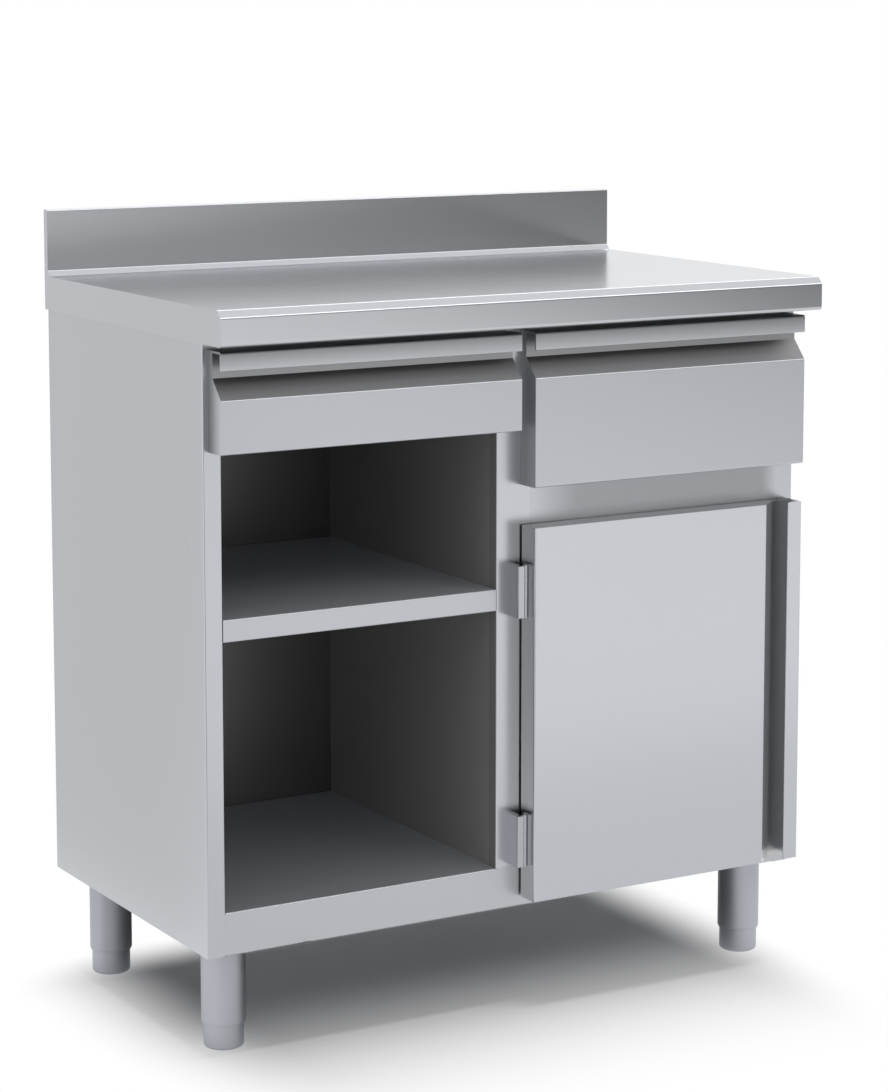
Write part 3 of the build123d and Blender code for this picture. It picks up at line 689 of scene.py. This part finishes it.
def pan_head_screws():
    """Geometry tree that drives a domed screw with a cross recess at each seed."""
    tree, given, result = node_group(
        "GeometryNodeTree",
        "pan_head_screws",
        {
            "Geometry": "NodeSocketGeometry",
            "Head Radius": "NodeSocketFloat",
            "Head Height": "NodeSocketFloat",
            "Shank Radius": "NodeSocketFloat",
            "Shank Length": "NodeSocketFloat",
            "Material": "NodeSocketMaterial",
        },
        {"Geometry": "NodeSocketGeometry"},
    )
    rim = math_node(tree, "MULTIPLY", given["Head Height"], SCREW_RIM)
    blank = add_node(
        tree, "GeometryNodeMeshCylinder",
        {"Vertices": 24, "Fill Segments": 4, "Radius": given["Head Radius"], "Depth": rim},
    )
    spot = add_node(tree, "GeometryNodeInputPosition").outputs["Position"]
    flat = vector_node(tree, "MULTIPLY", spot, (1.0, 1.0, 0.0)).outputs[0]
    reach = vector_node(tree, "LENGTH", flat).outputs["Value"]
    share = math_node(tree, "POWER", math_node(tree, "DIVIDE", reach, given["Head Radius"]), 2.0)
    crown = math_node(tree, "SUBTRACT", given["Head Height"], rim)
    swell = math_node(tree, "MULTIPLY", crown, math_node(tree, "SUBTRACT", 1.0, share))
    height = add_node(tree, "ShaderNodeSeparateXYZ", {"Vector": spot}).outputs["Z"]
    dome = add_node(
        tree, "GeometryNodeSetPosition",
        {
            "Geometry": blank.outputs["Mesh"],
            "Selection": math_node(tree, "GREATER_THAN", height, 0.0),
            "Offset": add_node(tree, "ShaderNodeCombineXYZ", {"Z": swell}).outputs["Vector"],
        },
    )
    long_arm = math_node(tree, "MULTIPLY", given["Head Radius"], RECESS_LENGTH)
    thin_arm = math_node(tree, "MULTIPLY", given["Head Radius"], RECESS_WIDTH)
    deep = given["Head Height"]
    head = dome.outputs["Geometry"]
    for x, y in ((long_arm, thin_arm), (thin_arm, long_arm)):
        size = add_node(tree, "ShaderNodeCombineXYZ", {"X": x, "Y": y, "Z": deep})
        arm = add_node(tree, "GeometryNodeMeshCube", {"Size": size.outputs["Vector"]})
        lift = add_node(tree, "ShaderNodeCombineXYZ", {"Z": deep})
        raised = add_node(
            tree, "GeometryNodeTransform",
            {"Geometry": arm.outputs["Mesh"], "Translation": lift.outputs["Vector"]},
        )
        cut = add_node(
            tree, "GeometryNodeMeshBoolean",
            {"Mesh 1": head, "Mesh 2": raised.outputs["Geometry"]}, operation="DIFFERENCE",
        )
        head = cut.outputs["Mesh"]
    pin = add_node(
        tree, "GeometryNodeMeshCylinder",
        {"Vertices": 16, "Radius": given["Shank Radius"], "Depth": given["Shank Length"]},
    )
    drop = add_node(
        tree, "ShaderNodeCombineXYZ", {"Z": math_node(tree, "MULTIPLY", given["Shank Length"], -0.5)}
    )
    shank = add_node(
        tree, "GeometryNodeTransform",
        {"Geometry": pin.outputs["Mesh"], "Translation": drop.outputs["Vector"]},
    )
    seat = add_node(tree, "ShaderNodeCombineXYZ", {"Z": math_node(tree, "MULTIPLY", rim, 0.5)})
    seated = add_node(
        tree, "GeometryNodeTransform", {"Geometry": head, "Translation": seat.outputs["Vector"]}
    )
    screw = add_node(
        tree, "GeometryNodeJoinGeometry",
        {"Geometry": [seated.outputs["Geometry"], shank.outputs["Geometry"]]},
    )
    facing = add_node(
        tree, "FunctionNodeAlignRotationToVector", {"Vector": mark(tree, "axis")}, axis="Z"
    )
    driven = add_node(
        tree, "GeometryNodeInstanceOnPoints",
        {
            "Points": given["Geometry"],
            "Instance": screw.outputs["Geometry"],
            "Rotation": facing.outputs["Rotation"],
        },
    )
    finish_tree(tree, driven.outputs["Instances"], given["Material"], result)
    return tree


screw_tree = pan_head_screws()
screw_places = []
screw_axes = []
for drawer in drawers:
    for side, facing in sides:
        low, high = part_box(f"{drawer}_outer_rail_{side}")
        seat_x = low.x + SLIDE_SHEET if facing > 0 else high.x - SLIDE_SHEET
        for y in (low.y + SCREW_END, high.y - SCREW_END):
            screw_places.append((seat_x, y, (low.z + high.z) / 2))
            screw_axes.append(facing * LENGTHWISE)
pan_screws = seeds("slide_pan_screws", screw_places, axis=screw_axes)
grow(
    pan_screws, screw_tree, head_radius=SCREW_HEAD_RADIUS, head_height=SCREW_HEAD_HEIGHT,
    shank_radius=SCREW_SHANK_RADIUS, shank_length=SCREW_SHANK_LENGTH, material=zinc,
)
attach(pan_screws, "carcass")
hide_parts("slide_screws")

# Drawers
# Open trays of thin sheet with a doubled rim, behind hollow fronts with a hooked and hemmed lip.
# Each tray is spot welded to the plate that closes the back of its front.
# Shade is painted in: darker in the grips, darkest on their slopes, and up the lip under the worktop.
FRONT_TONES = ((0.584, 0.602, 0.637, 1.0), (0.598, 0.616, 0.651, 1.0))
DRAWER_ROUGHNESS = 0.42
TRAY_ROUGHNESS = 0.29
GRIP_DEPTH = 0.026
GRIP_SHADE_TONE = (0.38, 0.384, 0.394, 1.0)
SLOPE_SHADE_TONE = (0.28, 0.281, 0.285, 1.0)
SLOPE_FACING = 0.6
LIP = 0.026
LIP_SHADE_TONE = (0.31, 0.313, 0.32, 1.0)
RIM = 0.030
drawer_steel = brushed_steel("drawer_steel", FRONT_TONES, DRAWER_ROUGHNESS, LENGTHWISE, UPRIGHT)
tray_steel = brushed_steel("tray_steel", CARCASS_TONES, TRAY_ROUGHNESS, DEPTHWISE, LENGTHWISE)


def tone_behind(steel, face, tone):
    """Blends a steel to another tone from just behind its front face to the grip's depth."""
    inward = along_axis(steel.node_tree, "Object", "Y")
    behind = ramp(steel.node_tree, inward, face + SHEET, face + GRIP_DEPTH)
    change_tone(steel, behind, tone)


front_low, front_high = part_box("left_drawer_front")
tree = drawer_steel.node_tree
# Painted shade in the grip, on its slope and up the lip.
tone_behind(drawer_steel, front_low.y, GRIP_SHADE_TONE)
slope_shade = math_node(tree, "GREATER_THAN", along_axis(tree, "Normal", "Z"), SLOPE_FACING)
change_tone(drawer_steel, slope_shade, SLOPE_SHADE_TONE)
lip_shade = ramp(tree, along_axis(tree, "Object", "Z"), front_high.z - LIP, front_high.z)
change_tone(drawer_steel, lip_shade, LIP_SHADE_TONE)
for drawer in drawers:
    dress(drawer_steel, f"{drawer}_front")
    dress(tray_steel, f"{drawer}_box", f"{drawer}_front_liner")
    low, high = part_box(f"{drawer}_box")
    tray_front = low.y + SHEET
    ends = (low.x + RIM, high.x - RIM)
    heights = (low.z + WELD_EDGE, high.z - RIM)
    weld_rows(
        f"{drawer}_welds", drawer,
        [((ends[0], tray_front, z), (ends[1], tray_front, z)) for z in heights],
        DEPTHWISE,
    )

# Knock bar
# A polished bar is welded across the grounds drawer, for knocking spent coffee out of its holder.
# The bar carries a moulded rubber sleeve with rounded ends and shallow grip grooves.
BAR_ROUGHNESS = 0.24
SLEEVE_ROUND = 0.004
GROOVE_PITCH = 0.016
GROOVE_WIDTH = 0.004
GROOVE_DEPTH = 0.0009
SLEEVE_BORE_GAP = 0.00005
SLEEVE_SEGMENTS = 48
SLEEVE_STEPS = 6
RUBBER_TONES = ((0.016, 0.016, 0.017, 1.0), (0.034, 0.033, 0.032, 1.0))
RUBBER_ROUGHNESS = 0.62
RUBBER_RELIEF = 0.25
MOULD_GRAIN = 2600.0
MOULD_DEPTH = 0.0003
BLOOM_PATCHES = 22.0
BLOOM_POLISH = 0.08
ROUND_LENGTHWISE = Vector((0, 1, 1))
bar_steel = brushed_steel(
    "bar_steel", LEG_TONES, BAR_ROUGHNESS, ROUND_LENGTHWISE, ROUND_LENGTHWISE,
    TURNED_STROKES, TURNED_RELIEF,
)
dress(bar_steel, "knock_bar")


def moulded_skin():
    """Shader group for moulded rubber and plastic: a fine grain, and a bloom in soft patches."""
    group, given, result = node_group(
        "ShaderNodeTree",
        "moulded_skin",
        {"Grain Scale": "NodeSocketFloat", "Bloom Scale": "NodeSocketFloat"},
        {"Grain": "NodeSocketFloat", "Bloom": "NodeSocketFloat"},
    )
    place = add_node(group, "ShaderNodeTexCoord").outputs["Object"]
    for label, detail in (("Grain", 2.0), ("Bloom", 5.0)):
        noise = add_node(
            group, "ShaderNodeTexNoise",
            {"Vector": place, "Scale": given[f"{label} Scale"], "Detail": detail},
        )
        group.links.new(noise.outputs["Fac"], result[label])
    return group


skin_group = moulded_skin()


def moulded(name, tones, roughness, relief):
    """Moulded rubber or plastic with a fine grain."""
    material, tree, shader = new_material(name, 0.0)
    skin = add_node(tree, "ShaderNodeGroup", node_tree=skin_group)
    skin.inputs["Grain Scale"].default_value = MOULD_GRAIN
    skin.inputs["Bloom Scale"].default_value = BLOOM_PATCHES
    tree.links.new(blend_tones(tree, skin.outputs["Bloom"], tones), shader["Base Color"])
    polish = spread(
        tree, skin.outputs["Bloom"], roughness - BLOOM_POLISH, roughness + BLOOM_POLISH
    )
    tree.links.new(polish, shader["Roughness"])
    bump = add_node(
        tree, "ShaderNodeBump",
        {"Height": skin.outputs["Grain"], "Strength": relief, "Distance": MOULD_DEPTH},
    )
    tree.links.new(bump.outputs["Normal"], shader["Normal"])
    return material


rubber = moulded("moulded_rubber", RUBBER_TONES, RUBBER_ROUGHNESS, RUBBER_RELIEF)
low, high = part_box("knock_bar_sleeve")
middle = (low + high) / 2
length = high.x - low.x
radius = (high.z - low.z) / 2
bar_low, bar_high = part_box("knock_bar")
bore = (bar_high.z - bar_low.z) / 2 + SLEEVE_BORE_GAP
grooves = int((length - 2 * GROOVE_PITCH) / GROOVE_PITCH)
first = (length - (grooves - 1) * GROOVE_PITCH) / 2
ribbed = [(bore, 0)]
ribbed += arc((radius - SLEEVE_ROUND, SLEEVE_ROUND), SLEEVE_ROUND, -90, 0, SLEEVE_STEPS)
for index in range(grooves):
    centre = first + index * GROOVE_PITCH
    ribbed += [
        (radius, centre - GROOVE_WIDTH / 2),
        (radius - GROOVE_DEPTH, centre - GROOVE_WIDTH / 4),
        (radius - GROOVE_DEPTH, centre + GROOVE_WIDTH / 4),
        (radius, centre + GROOVE_WIDTH / 2),
    ]
ribbed += arc((radius - SLEEVE_ROUND, length - SLEEVE_ROUND), SLEEVE_ROUND, 0, 90, SLEEVE_STEPS)
ribbed.append((bore, length))
sleeve = lathe(
    "knock_bar_ribbed_sleeve", ribbed, [(low.x, middle.y, middle.z)], LENGTHWISE, SLEEVE_SEGMENTS,
    ring=True,
)
sleeve.data.materials.append(rubber)
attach(sleeve, "right_drawer")
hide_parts("knock_bar_sleeve")

# Door
# A hollow pan like the drawer fronts, with its hooked lip upright along the free edge.
# A flat inner plate closes its back. Its edges and its grip are greyer than its face.
DOOR_ROUGHNESS = 0.22
DOOR_GRIP_TONE = (0.6, 0.598, 0.594, 1.0)
door_steel = brushed_steel("door_steel", FRONT_TONES, DOOR_ROUGHNESS, UPRIGHT, LENGTHWISE)
tone_behind(door_steel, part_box("door_skin")[0].y, DOOR_GRIP_TONE)
dress(door_steel, "door_skin", "door_liner")

# Hinges
# Cast stainless hinges: a block on the mid stile, a leaf on the door's edge and a headed pin.
# They are polished bright along their length.
HINGE_TONES = ((0.475, 0.485, 0.51, 1.0), (0.51, 0.52, 0.545, 1.0))
HINGE_ROUGHNESS = 0.2
hinge_steel = brushed_steel("hinge_steel", HINGE_TONES, HINGE_ROUGHNESS, UPRIGHT, LENGTHWISE)
for place in ("upper", "lower"):
    dress(hinge_steel, *[f"{place}_hinge_{part}" for part in ("fixed_leaf", "moving_leaf", "pin")])

# Door catch
# A magnet between two steel pole plates, in a moulded plastic housing screwed to the right liner.
# It holds a zinc-plated strike plate that is riveted to the back of the door.
CATCH_SETBACK = 0.0012
CATCH_ROUND = 0.0015
CATCH_SCREW_SHARES = (0.42, 0.82)
CATCH_SCREW_SCALE = 0.8
POLE_THICKNESS = 0.0016
POLE_INSET = 0.0032
POLE_REACH = 0.012
POLE_ROUND = 0.0002
BLOCK_SHARP = 30
RIVET_RADIUS = 0.0026
RIVET_RISE = 0.0003
PLASTIC_TONES = ((0.022, 0.022, 0.024, 1.0), (0.032, 0.032, 0.034, 1.0))
PLASTIC_ROUGHNESS = 0.45
PLASTIC_RELIEF = 0.12
plastic = moulded("moulded_plastic", PLASTIC_TONES, PLASTIC_ROUGHNESS, PLASTIC_RELIEF)
dress(zinc, "door_strike_plate")


def bevelled_blocks(name, spans, width):
    """Blocks between low and high corners, with rounded edges, in one piece."""
    shape = bmesh.new()
    for low, high in spans:
        size = high - low
        made = bmesh.ops.create_cube(shape, size=1.0)["verts"]
        for vertex in made:
            spot = vertex.co + Vector((0.5, 0.5, 0.5))
            vertex.co = low + Vector((spot.x * size.x, spot.y * size.y, spot.z * size.z))
    bmesh.ops.bevel(
        shape, geom=shape.edges[:], offset=width, segments=3, profile=0.5, affect="EDGES"
    )
    return mesh_piece(name, shape, BLOCK_SHARP)


low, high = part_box("door_magnet_catch")
body_low = low + CATCH_SETBACK * DEPTHWISE
housing = bevelled_blocks("catch_housing", [(body_low, high)], CATCH_ROUND)
housing.data.materials.append(plastic)
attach(housing, "carcass")
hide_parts("door_magnet_catch")
pole_spans = []
for z in (low.z + POLE_INSET, high.z - POLE_INSET - POLE_THICKNESS):
    pole_low = Vector((low.x + POLE_INSET, low.y, z))
    pole_high = Vector((high.x - POLE_INSET, low.y + POLE_REACH, z + POLE_THICKNESS))
    pole_spans.append((pole_low, pole_high))
poles = bevelled_blocks("catch_pole_plates", pole_spans, POLE_ROUND)
poles.data.materials.append(zinc)
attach(poles, "carcass")
middle_z = (low.z + high.z) / 2
catch_screws = seeds(
    "catch_screws",
    [(low.x, low.y + share * (high.y - low.y), middle_z) for share in CATCH_SCREW_SHARES],
    axis=[-LENGTHWISE] * len(CATCH_SCREW_SHARES),
)
grow(
    catch_screws, screw_tree, head_radius=SCREW_HEAD_RADIUS * CATCH_SCREW_SCALE,
    head_height=SCREW_HEAD_HEIGHT, shank_radius=SCREW_SHANK_RADIUS * CATCH_SCREW_SCALE,
    shank_length=SCREW_SHANK_LENGTH, material=zinc,
)
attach(catch_screws, "carcass")
low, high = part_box("door_strike_plate")
strike_middle = (low + high) / 2
rivet = seeds("strike_rivet", [(strike_middle.x, high.y, strike_middle.z)], axis=[DEPTHWISE])
grow(rivet, weld_tree, radius=RIVET_RADIUS, rise=RIVET_RISE, material=zinc)
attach(rivet, "door")

# Door bumpers
# Two soft rubber buttons, glued to the back of the door where it meets the right stile.
# Their rims are rounded and their faces slightly domed.
BUMPER_ROUND = 0.0012
BUMPER_STEPS = 5
BUMPER_DOME = 80
BUMPER_SEGMENTS = 32
low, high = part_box("door_bumpers")
radius = (high.x - low.x) / 2
thickness = high.y - low.y
bumper_places = [((low.x + high.x) / 2, low.y, z) for z in (low.z + radius, high.z - radius)]
bumpers = lathe(
    "door_rubber_buttons",
    [
        (0, 0),
        (radius, 0),
        *arc(
            (radius - BUMPER_ROUND, thickness - BUMPER_ROUND), BUMPER_ROUND,
            0, BUMPER_DOME, BUMPER_STEPS,
        ),
        (0, thickness),
    ],
    bumper_places, DEPTHWISE, BUMPER_SEGMENTS,
)
bumpers.data.materials.append(rubber)
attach(bumpers, "door")
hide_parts("door_bumpers")

# Studio
# A white floor that keeps the cabinet's shadow and runs out into a white backdrop.
# A soft box hangs overhead. The steel mirrors two glowing light boards and seven grey boards instead.
# Only reflections see the boards, so they paint highlights and darker reflections into the steel.
FLOOR_SIZE = 40.0
FLOOR_WHITE = (0.94, 0.94, 0.94, 1.0)
FLOOR_ROUGHNESS = 0.9
SHADOW_FROM = (-0.36, 0.0, 0.0)
SHADOW_TO = (0.36, 0.16, 0.0)
FADE_BEFORE = (0.27, 0.67, 1.0)
FADE_AFTER = (0.17, 0.16, 1.0)
AMBIENT = 0.1
SOFT_BOX_PLACE = (-0.1, -0.1, 4.0)
SOFT_BOX_TARGET = (-0.1, 0.0, 0.0)
SOFT_BOX_SIZE = 1.4
SOFT_BOX_POWER = 108.0


def seen_rays(tree):
    """One where a ray looks at the backdrop itself or at its mirror image, nought where it lights."""
    path = add_node(tree, "ShaderNodeLightPath").outputs
    return math_node(tree, "MAXIMUM", path["Is Camera Ray"], path["Is Glossy Ray"])


def flat_piece(name, corner_points):
    """Flat four-cornered stage piece."""
    mesh = bpy.data.meshes.new(name)
    mesh.from_pydata(corner_points, [], [(0, 1, 2, 3)])
    piece = bpy.data.objects.new(name, mesh)
    scene.collection.objects.link(piece)
    return piece


half = FLOOR_SIZE / 2
floor = flat_piece(
    "studio_floor", [(-half, -half, 0), (half, -half, 0), (half, half, 0), (-half, half, 0)]
)
paper, tree, shader = new_material("white_paper", 0.0)
shader["Base Color"].default_value = FLOOR_WHITE
shader["Roughness"].default_value = FLOOR_ROUGHNESS
shader["Specular IOR Level"].default_value = 0.0
place = add_node(tree, "ShaderNodeTexCoord").outputs["Object"]
before = vector_node(tree, "SUBTRACT", SHADOW_FROM, place).outputs[0]
before = vector_node(tree, "DIVIDE", before, FADE_BEFORE).outputs[0]
after = vector_node(tree, "SUBTRACT", place, SHADOW_TO).outputs[0]
after = vector_node(tree, "DIVIDE", after, FADE_AFTER).outputs[0]
beyond = vector_node(tree, "MAXIMUM", before, after).outputs[0]
beyond = vector_node(tree, "MAXIMUM", beyond, (0.0, 0.0, 0.0)).outputs[0]
reach = vector_node(tree, "LENGTH", beyond).outputs["Value"]
fade = add_node(
    tree, "ShaderNodeMapRange", {"Value": reach}, interpolation_type="SMOOTHSTEP"
).outputs["Result"]
white = add_node(tree, "ShaderNodeEmission", {"Color": (1, 1, 1, 1), "Strength": 1.0})
run_out = add_node(
    tree, "ShaderNodeMixShader",
    {
        0: math_node(tree, "MULTIPLY", seen_rays(tree), fade),
        1: tree.nodes["Principled BSDF"].outputs["BSDF"],
        2: white.outputs["Emission"],
    },
)
tree.links.new(run_out.outputs["Shader"], tree.nodes["Material Output"].inputs["Surface"])
floor.data.materials.append(paper)

world = bpy.data.worlds.new("white_studio")
scene.world = world
world.use_nodes = True
tree = world.node_tree
tree.nodes.clear()
fill = add_node(tree, "ShaderNodeBackground", {"Color": (1, 1, 1, 1), "Strength": AMBIENT})
backdrop = add_node(tree, "ShaderNodeBackground", {"Color": (1, 1, 1, 1), "Strength": 1.0})
sky = add_node(
    tree, "ShaderNodeMixShader",
    {0: seen_rays(tree), 1: fill.outputs["Background"], 2: backdrop.outputs["Background"]},
)
add_node(tree, "ShaderNodeOutputWorld", {"Surface": sky.outputs["Shader"]})


light = bpy.data.lights.new("overhead_soft_box", "AREA")
light.shape = "SQUARE"
light.size = SOFT_BOX_SIZE
light.energy = SOFT_BOX_POWER
soft_box = bpy.data.objects.new("overhead_soft_box", light)
soft_box.location = SOFT_BOX_PLACE
aim = Vector(SOFT_BOX_TARGET) - Vector(SOFT_BOX_PLACE)
soft_box.rotation_euler = aim.to_track_quat("-Z", "Y").to_euler()
soft_box.visible_camera = False
soft_box.visible_glossy = False
scene.collection.objects.link(soft_box)


def mirror_board(name, corner_points, shade, far_shade=None, graded=(0.0, 1.0)):
    """Board that only mirror rays see, of one shade or shaded from place to place along X."""
    board = flat_piece(name, corner_points)
    board.visible_camera = False
    board.visible_diffuse = False
    board.visible_shadow = False
    card = bpy.data.materials.new(name)
    card.use_nodes = True
    tree = card.node_tree
    tree.nodes.clear()
    across = ramp(tree, along_axis(tree, "Object", "X"), *graded)
    colour = blend_tones(tree, across, (shade, far_shade or shade))
    glow = add_node(tree, "ShaderNodeEmission", {"Color": colour, "Strength": 1.0})
    add_node(tree, "ShaderNodeOutputMaterial", {"Surface": glow.outputs["Emission"]})
    board.data.materials.append(card)


# The light boards glow only for reflections: painted highlights along the bends.
mirror_board(
    "rear_light_board",
    [(0.0, 1.0, 3.5), (3.4, 1.0, 3.5), (3.4, 1.7, 2.8), (0.0, 1.7, 2.8)],
    (3.0, 3.0, 3.0, 1.0),
)
mirror_board(
    "front_light_board",
    [(0.5, -2.3, 3.5), (4.0, -2.3, 3.5), (4.0, -3.0, 2.7), (0.5, -3.0, 2.7)],
    (3.5, 3.5, 3.5, 1.0),
)
mirror_board(
    "right_grey_board",
    [(0.2, -2.5, 1.04), (4.6, -2.5, 0.08), (4.6, -2.5, 2.6), (0.2, -2.5, 2.6)],
    (0.48, 0.471, 0.458, 1.0), (0.2, 0.196, 0.191, 1.0), graded=(0.8, 2.2),
)
# A dark board at the front left paints shade into the bay's back and the door's side.
mirror_board(
    "left_grey_board",
    [(-0.78, -0.85, 0.16), (-0.42, -0.85, 0.16), (-0.48, -1.4, 1.8), (-0.95, -1.4, 1.8)],
    (0.12, 0.118, 0.115, 1.0),
)
# A grey board on the floor in front paints the floor's shade into the low parts.
mirror_board(
    "floor_grey_board",
    [(-1.5, -1.5, 0.003), (3.5, -1.5, 0.003), (3.5, -0.45, 0.003), (-1.5, -0.45, 0.003)],
    (0.83, 0.83, 0.83, 1.0),
)
# Near-black boards under the cabinet paint its shade into the legs.
for side, x in (("left", -0.33), ("right", 0.33)):
    mirror_board(
        f"under_{side}_grey_board",
        [(x, -0.26, 0.0), (x, 0.28, 0.0), (x, 0.28, 0.14), (x, -0.26, 0.14)],
        (0.03, 0.03, 0.03, 1.0),
    )
# A grey board beside the rear leg paints shade into it.
mirror_board(
    "rear_leg_grey_board",
    [(-0.5, -0.1, 0.0), (-0.5, 0.18, 0.0), (-0.5, 0.18, 0.145), (-0.5, -0.1, 0.145)],
    (0.62, 0.62, 0.62, 1.0),
)
mirror_board(
    "side_grey_board",
    [(-0.72, 0.2, 0.0), (-0.72, 2.2, 0.0), (-0.95, 2.2, 1.5), (-0.95, 0.2, 1.5)],
    (0.80, 0.80, 0.80, 1.0),
)

# Camera
# A long lens at the photograph's viewing angle.
# A small downward shift keeps the uprights nearly parallel.
CAMERA_PLACE = (-2.2792, -3.9538, 1.4768)
CAMERA_YAW = 30.173
CAMERA_PITCH = -7.204
CAMERA_LENS = 100.683
CAMERA_SENSOR = 36.0
CAMERA_SHIFT = -0.15
camera = bpy.data.objects.new("camera", bpy.data.cameras.new("camera"))
camera.data.lens = CAMERA_LENS
camera.data.sensor_width = CAMERA_SENSOR
camera.data.shift_y = CAMERA_SHIFT
camera.location = CAMERA_PLACE
camera.rotation_euler = (math.radians(90 + CAMERA_PITCH), 0, -math.radians(CAMERA_YAW))
scene.collection.objects.link(camera)
scene.camera = camera
scene.view_settings.view_transform = "Standard"
